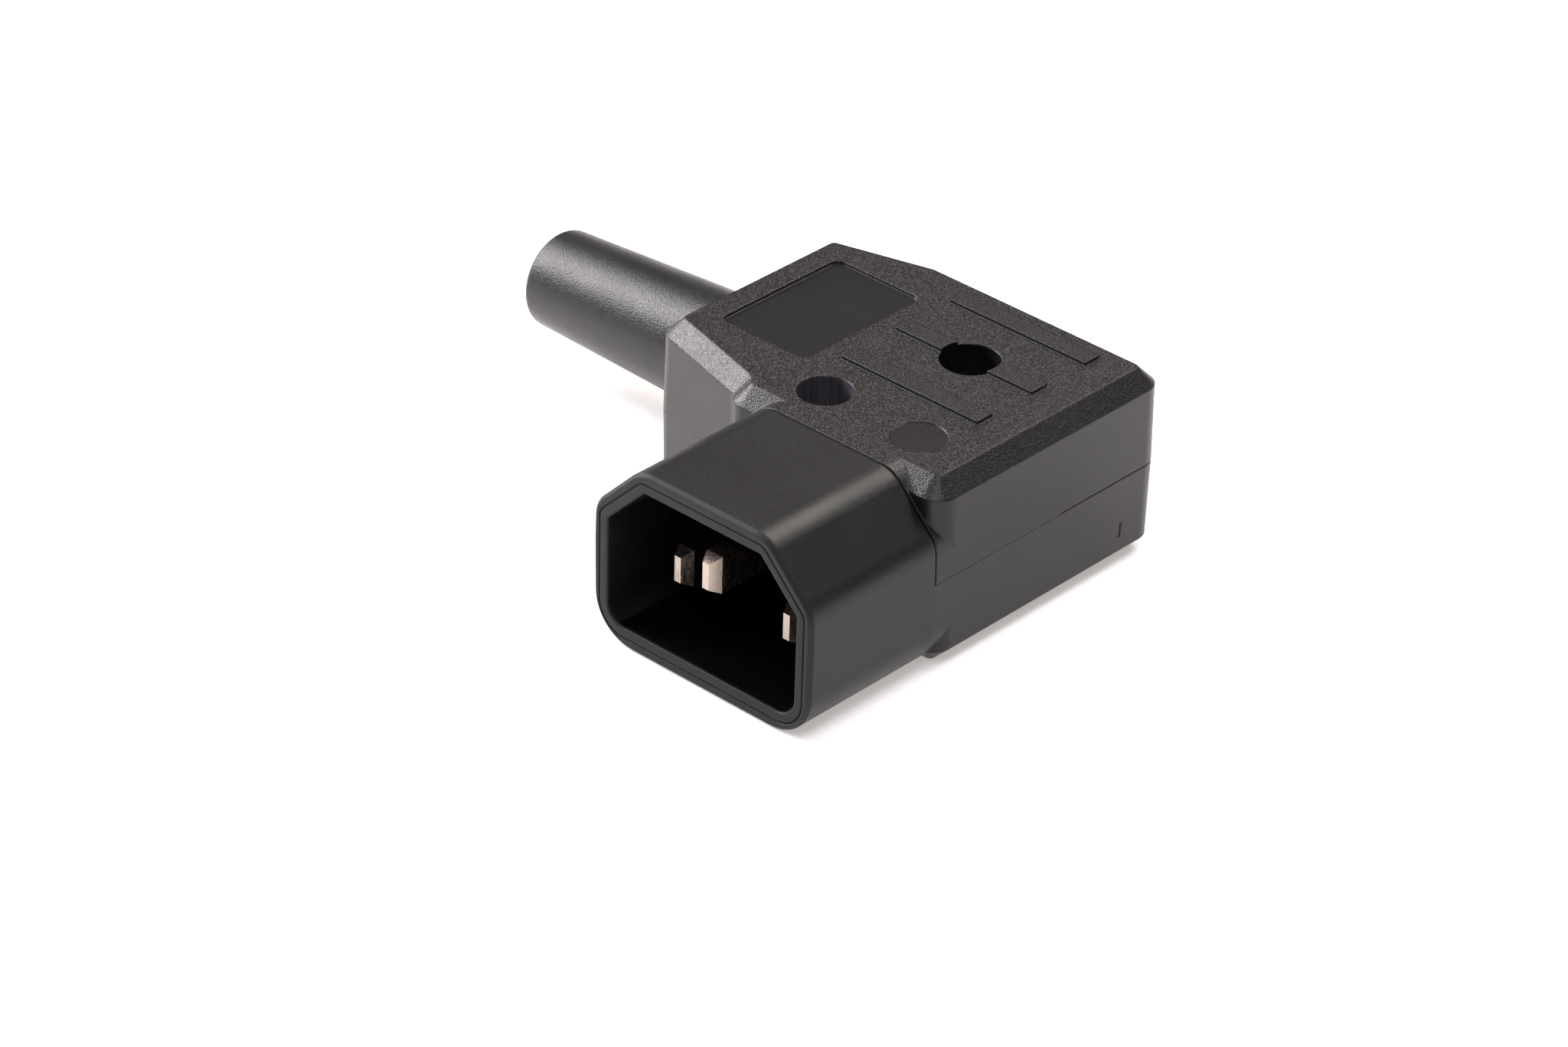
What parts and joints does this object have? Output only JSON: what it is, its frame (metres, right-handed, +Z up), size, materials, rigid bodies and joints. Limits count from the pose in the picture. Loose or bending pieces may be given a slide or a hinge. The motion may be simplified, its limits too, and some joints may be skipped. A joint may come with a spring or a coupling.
{
  "type": "power connector plug",
  "caption": "Right-angle appliance power plug: a hooded front with flat pins, a two-part moulded housing and a side boot for the cable.",
  "frame": {"origin": "centre of the mating face, which is the hood's rim, on the plane where the two halves of the housing meet", "axes": "+X points away from the boot, +Y from the mating face to the back of the housing, +Z up through the cover"},
  "size_m": [0.0673, 0.0502, 0.0207],
  "materials": {
    "housing_plastic": "black moulded plastic, fine spark-eroded grain on top and satin sides",
    "boot_rubber": "black flexible plastic, satin",
    "pin_metal": "nickel plated brass, bright",
    "screw_steel": "zinc plated steel",
    "clamp_plastic": "black moulded plastic, satin"
  },
  "bodies": {
    "root": {"base": "housing_plastic", "cover": "housing_plastic", "strain_relief_boot": "boot_rubber", "line_pin": "pin_metal", "neutral_pin": "pin_metal", "earth_pin": "pin_metal", "line_terminal_screw": "screw_steel", "neutral_terminal_screw": "screw_steel", "earth_terminal_screw": "screw_steel", "cable_clamp_bar": "clamp_plastic", "clamp_screw_front": "screw_steel", "clamp_screw_back": "screw_steel", "housing_screw": "screw_steel"}
  },
  "joints": []
}
